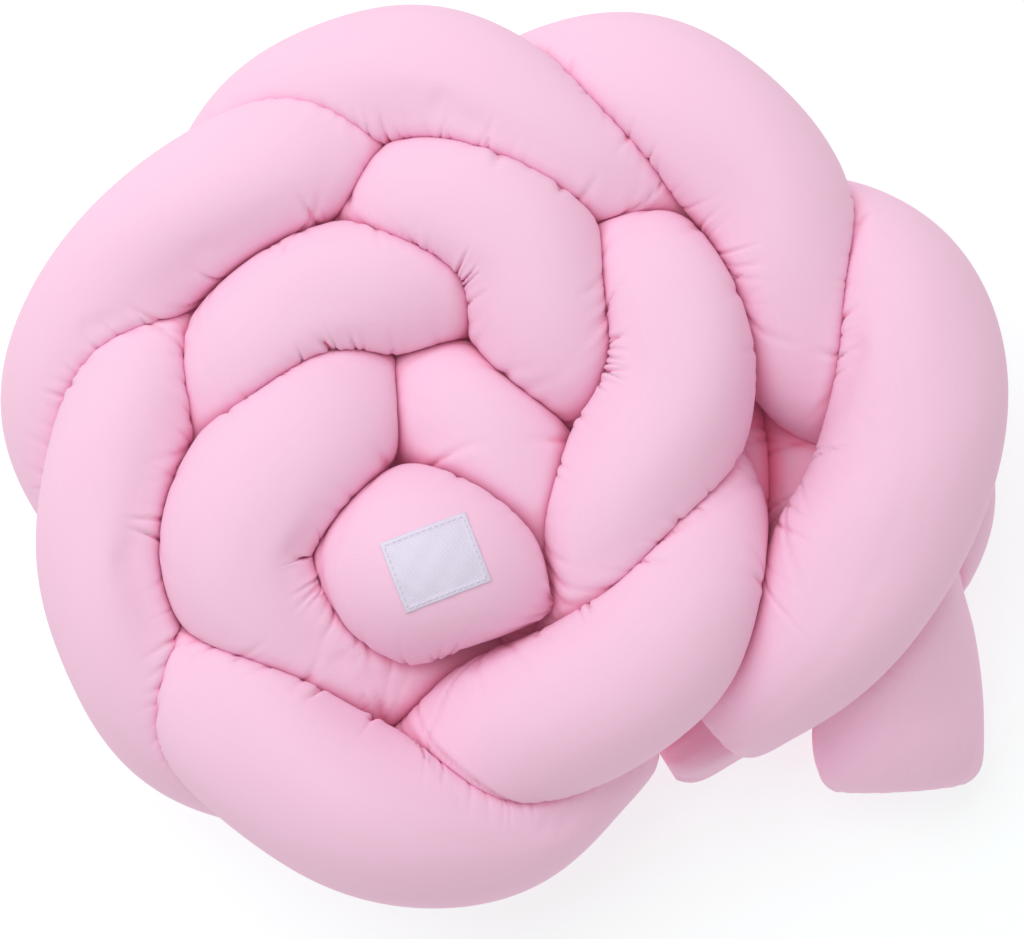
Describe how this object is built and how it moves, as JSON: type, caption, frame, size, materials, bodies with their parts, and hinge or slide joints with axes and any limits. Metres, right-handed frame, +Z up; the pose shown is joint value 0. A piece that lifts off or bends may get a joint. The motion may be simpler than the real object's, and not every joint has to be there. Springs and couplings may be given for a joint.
{
  "type": "braided crib bumper",
  "caption": "Plaited band of stuffed cotton tubes, rolled up and stood on its edge, that is laid round the inside of a cot as padding.",
  "frame": {"origin": "middle of the part's plan, on the surface that it stands on", "axes": "+Z up along the axis of the roll; seen from above the band runs outwards clockwise and its outer end comes out at +X, towards -Y"},
  "size_m": [0.5788, 0.5082, 0.2054],
  "materials": {
    "cotton": "soft pale pink woven cotton over filling",
    "label": "bare white woven label"
  },
  "bodies": {
    "root": {"labelled_strand": "cotton", "wrapping_strand": "cotton", "closing_strand": "cotton", "label": "label"}
  },
  "joints": []
}
